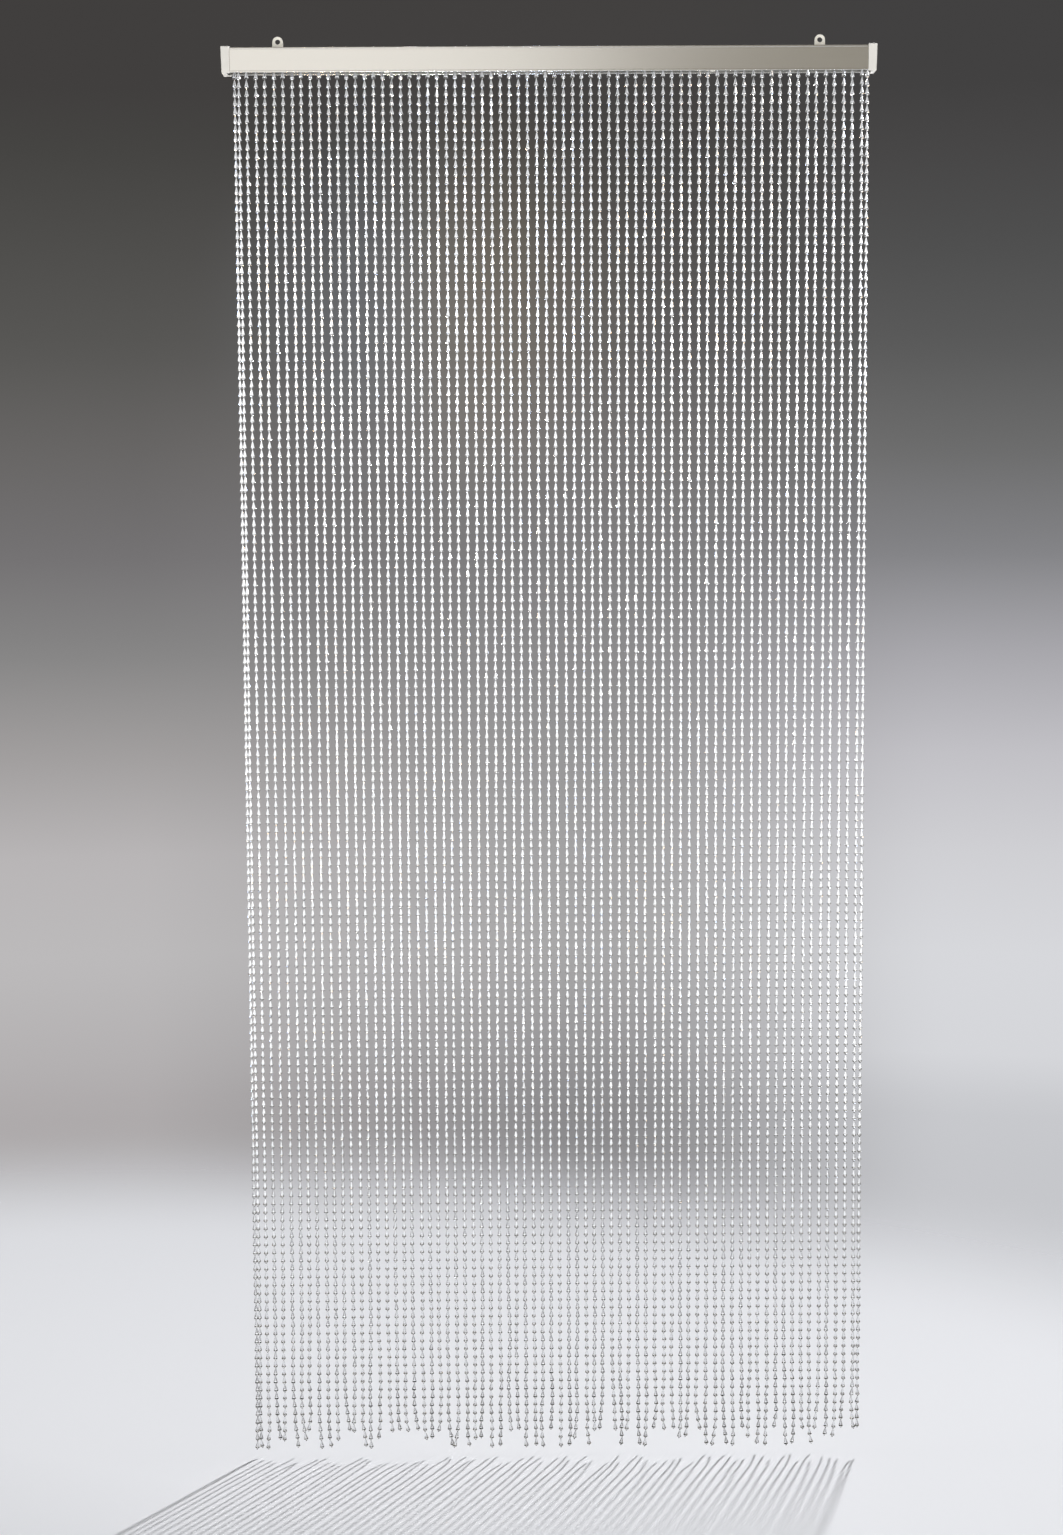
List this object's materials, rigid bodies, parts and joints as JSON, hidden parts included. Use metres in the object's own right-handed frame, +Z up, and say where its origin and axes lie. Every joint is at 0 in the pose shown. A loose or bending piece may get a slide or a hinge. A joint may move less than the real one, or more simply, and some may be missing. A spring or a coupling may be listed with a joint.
{
  "type": "beaded fly curtain",
  "caption": "Door fly curtain: strings of clear drop beads looped over a rod inside an open-bottomed aluminium header rail, hung by eyelets.",
  "frame": {"origin": "midway between the centres of the two eyelet holes, on the plane of the lugs' backs, which is the wall or door frame", "axes": "+Z up, +Y into the wall, +X along the rail to the right as seen by someone in front of the curtain"},
  "size_m": [0.9, 0.0288, 2.0057],
  "materials": {
    "rail_metal": "satin anodised extrusion",
    "moulded_plastic": "moulded, semi-gloss",
    "steel": "bright drawn steel",
    "clear_beads": "clear moulded acrylic, faceted"
  },
  "bodies": {
    "header": {"header_rail": "rail_metal", "end_cap_left": "moulded_plastic", "hanging_eyelet_left": "moulded_plastic", "eyelet_rivet_left": "steel", "end_cap_right": "moulded_plastic", "hanging_eyelet_right": "moulded_plastic", "eyelet_rivet_right": "steel", "carrier_rod": "steel", "rod_saddle_1": "moulded_plastic", "rod_saddle_2": "moulded_plastic", "rod_saddle_3": "moulded_plastic"},
    "string_pair_01": {"string_pair_01": "clear_beads"},
    "string_pair_02": {"string_pair_02": "clear_beads"},
    "string_pair_03": {"string_pair_03": "clear_beads"},
    "string_pair_04": {"string_pair_04": "clear_beads"},
    "string_pair_05": {"string_pair_05": "clear_beads"},
    "string_pair_06": {"string_pair_06": "clear_beads"},
    "string_pair_07": {"string_pair_07": "clear_beads"},
    "string_pair_08": {"string_pair_08": "clear_beads"},
    "string_pair_09": {"string_pair_09": "clear_beads"},
    "string_pair_10": {"string_pair_10": "clear_beads"},
    "string_pair_11": {"string_pair_11": "clear_beads"},
    "string_pair_12": {"string_pair_12": "clear_beads"},
    "string_pair_13": {"string_pair_13": "clear_beads"},
    "string_pair_14": {"string_pair_14": "clear_beads"},
    "string_pair_15": {"string_pair_15": "clear_beads"},
    "string_pair_16": {"string_pair_16": "clear_beads"},
    "string_pair_17": {"string_pair_17": "clear_beads"},
    "string_pair_18": {"string_pair_18": "clear_beads"},
    "string_pair_19": {"string_pair_19": "clear_beads"},
    "string_pair_20": {"string_pair_20": "clear_beads"},
    "string_pair_21": {"string_pair_21": "clear_beads"},
    "string_pair_22": {"string_pair_22": "clear_beads"},
    "string_pair_23": {"string_pair_23": "clear_beads"},
    "string_pair_24": {"string_pair_24": "clear_beads"},
    "string_pair_25": {"string_pair_25": "clear_beads"},
    "string_pair_26": {"string_pair_26": "clear_beads"},
    "string_pair_27": {"string_pair_27": "clear_beads"},
    "string_pair_28": {"string_pair_28": "clear_beads"},
    "string_pair_29": {"string_pair_29": "clear_beads"},
    "string_pair_30": {"string_pair_30": "clear_beads"},
    "string_pair_31": {"string_pair_31": "clear_beads"},
    "string_pair_32": {"string_pair_32": "clear_beads"},
    "string_pair_33": {"string_pair_33": "clear_beads"},
    "string_pair_34": {"string_pair_34": "clear_beads"},
    "string_pair_35": {"string_pair_35": "clear_beads"},
    "string_pair_36": {"string_pair_36": "clear_beads"}
  },
  "joints": [
    {"name": "string_pair_01_swing", "type": "hinge", "parent": "header", "child": "string_pair_01", "pos_m": [-0.42995, -0.0148, -0.0406], "axis": [1, 0, 0], "range_deg": [-35, 35]},
    {"name": "string_pair_02_swing", "type": "hinge", "parent": "header", "child": "string_pair_02", "pos_m": [-0.40987, -0.0148, -0.0406], "axis": [1, 0, 0], "range_deg": [-35, 35]},
    {"name": "string_pair_03_swing", "type": "hinge", "parent": "header", "child": "string_pair_03", "pos_m": [-0.38498, -0.0148, -0.0406], "axis": [1, 0, 0], "range_deg": [-35, 35]},
    {"name": "string_pair_04_swing", "type": "hinge", "parent": "header", "child": "string_pair_04", "pos_m": [-0.36007, -0.0148, -0.0406], "axis": [1, 0, 0], "range_deg": [-35, 35]},
    {"name": "string_pair_05_swing", "type": "hinge", "parent": "header", "child": "string_pair_05", "pos_m": [-0.33518, -0.0148, -0.0406], "axis": [1, 0, 0], "range_deg": [-35, 35]},
    {"name": "string_pair_06_swing", "type": "hinge", "parent": "header", "child": "string_pair_06", "pos_m": [-0.31028, -0.0148, -0.0406], "axis": [1, 0, 0], "range_deg": [-35, 35]},
    {"name": "string_pair_07_swing", "type": "hinge", "parent": "header", "child": "string_pair_07", "pos_m": [-0.28537, -0.0148, -0.0406], "axis": [1, 0, 0], "range_deg": [-35, 35]},
    {"name": "string_pair_08_swing", "type": "hinge", "parent": "header", "child": "string_pair_08", "pos_m": [-0.26048, -0.0148, -0.0406], "axis": [1, 0, 0], "range_deg": [-35, 35]},
    {"name": "string_pair_09_swing", "type": "hinge", "parent": "header", "child": "string_pair_09", "pos_m": [-0.23558, -0.0148, -0.0406], "axis": [1, 0, 0], "range_deg": [-35, 35]},
    {"name": "string_pair_10_swing", "type": "hinge", "parent": "header", "child": "string_pair_10", "pos_m": [-0.21068, -0.0148, -0.0406], "axis": [1, 0, 0], "range_deg": [-35, 35]},
    {"name": "string_pair_11_swing", "type": "hinge", "parent": "header", "child": "string_pair_11", "pos_m": [-0.18577, -0.0148, -0.0406], "axis": [1, 0, 0], "range_deg": [-35, 35]},
    {"name": "string_pair_12_swing", "type": "hinge", "parent": "header", "child": "string_pair_12", "pos_m": [-0.16087, -0.0148, -0.0406], "axis": [1, 0, 0], "range_deg": [-35, 35]},
    {"name": "string_pair_13_swing", "type": "hinge", "parent": "header", "child": "string_pair_13", "pos_m": [-0.13598, -0.0148, -0.0406], "axis": [1, 0, 0], "range_deg": [-35, 35]},
    {"name": "string_pair_14_swing", "type": "hinge", "parent": "header", "child": "string_pair_14", "pos_m": [-0.11107, -0.0148, -0.0406], "axis": [1, 0, 0], "range_deg": [-35, 35]},
    {"name": "string_pair_15_swing", "type": "hinge", "parent": "header", "child": "string_pair_15", "pos_m": [-0.08618, -0.0148, -0.0406], "axis": [1, 0, 0], "range_deg": [-35, 35]},
    {"name": "string_pair_16_swing", "type": "hinge", "parent": "header", "child": "string_pair_16", "pos_m": [-0.06128, -0.0148, -0.0406], "axis": [1, 0, 0], "range_deg": [-35, 35]},
    {"name": "string_pair_17_swing", "type": "hinge", "parent": "header", "child": "string_pair_17", "pos_m": [-0.03637, -0.0148, -0.0406], "axis": [1, 0, 0], "range_deg": [-35, 35]},
    {"name": "string_pair_18_swing", "type": "hinge", "parent": "header", "child": "string_pair_18", "pos_m": [-0.01148, -0.0148, -0.0406], "axis": [1, 0, 0], "range_deg": [-35, 35]},
    {"name": "string_pair_19_swing", "type": "hinge", "parent": "header", "child": "string_pair_19", "pos_m": [0.01342, -0.0148, -0.0406], "axis": [1, 0, 0], "range_deg": [-35, 35]},
    {"name": "string_pair_20_swing", "type": "hinge", "parent": "header", "child": "string_pair_20", "pos_m": [0.03832, -0.0148, -0.0406], "axis": [1, 0, 0], "range_deg": [-35, 35]},
    {"name": "string_pair_21_swing", "type": "hinge", "parent": "header", "child": "string_pair_21", "pos_m": [0.06323, -0.0148, -0.0406], "axis": [1, 0, 0], "range_deg": [-35, 35]},
    {"name": "string_pair_22_swing", "type": "hinge", "parent": "header", "child": "string_pair_22", "pos_m": [0.08812, -0.0148, -0.0406], "axis": [1, 0, 0], "range_deg": [-35, 35]},
    {"name": "string_pair_23_swing", "type": "hinge", "parent": "header", "child": "string_pair_23", "pos_m": [0.11303, -0.0148, -0.0406], "axis": [1, 0, 0], "range_deg": [-35, 35]},
    {"name": "string_pair_24_swing", "type": "hinge", "parent": "header", "child": "string_pair_24", "pos_m": [0.13792, -0.0148, -0.0406], "axis": [1, 0, 0], "range_deg": [-35, 35]},
    {"name": "string_pair_25_swing", "type": "hinge", "parent": "header", "child": "string_pair_25", "pos_m": [0.16282, -0.0148, -0.0406], "axis": [1, 0, 0], "range_deg": [-35, 35]},
    {"name": "string_pair_26_swing", "type": "hinge", "parent": "header", "child": "string_pair_26", "pos_m": [0.18773, -0.0148, -0.0406], "axis": [1, 0, 0], "range_deg": [-35, 35]},
    {"name": "string_pair_27_swing", "type": "hinge", "parent": "header", "child": "string_pair_27", "pos_m": [0.21263, -0.0148, -0.0406], "axis": [1, 0, 0], "range_deg": [-35, 35]},
    {"name": "string_pair_28_swing", "type": "hinge", "parent": "header", "child": "string_pair_28", "pos_m": [0.23752, -0.0148, -0.0406], "axis": [1, 0, 0], "range_deg": [-35, 35]},
    {"name": "string_pair_29_swing", "type": "hinge", "parent": "header", "child": "string_pair_29", "pos_m": [0.26243, -0.0148, -0.0406], "axis": [1, 0, 0], "range_deg": [-35, 35]},
    {"name": "string_pair_30_swing", "type": "hinge", "parent": "header", "child": "string_pair_30", "pos_m": [0.28732, -0.0148, -0.0406], "axis": [1, 0, 0], "range_deg": [-35, 35]},
    {"name": "string_pair_31_swing", "type": "hinge", "parent": "header", "child": "string_pair_31", "pos_m": [0.31222, -0.0148, -0.0406], "axis": [1, 0, 0], "range_deg": [-35, 35]},
    {"name": "string_pair_32_swing", "type": "hinge", "parent": "header", "child": "string_pair_32", "pos_m": [0.33713, -0.0148, -0.0406], "axis": [1, 0, 0], "range_deg": [-35, 35]},
    {"name": "string_pair_33_swing", "type": "hinge", "parent": "header", "child": "string_pair_33", "pos_m": [0.36202, -0.0148, -0.0406], "axis": [1, 0, 0], "range_deg": [-35, 35]},
    {"name": "string_pair_34_swing", "type": "hinge", "parent": "header", "child": "string_pair_34", "pos_m": [0.38693, -0.0148, -0.0406], "axis": [1, 0, 0], "range_deg": [-35, 35]},
    {"name": "string_pair_35_swing", "type": "hinge", "parent": "header", "child": "string_pair_35", "pos_m": [0.41182, -0.0148, -0.0406], "axis": [1, 0, 0], "range_deg": [-35, 35]},
    {"name": "string_pair_36_swing", "type": "hinge", "parent": "header", "child": "string_pair_36", "pos_m": [0.43465, -0.0148, -0.0406], "axis": [1, 0, 0], "range_deg": [-35, 35]}
  ]
}
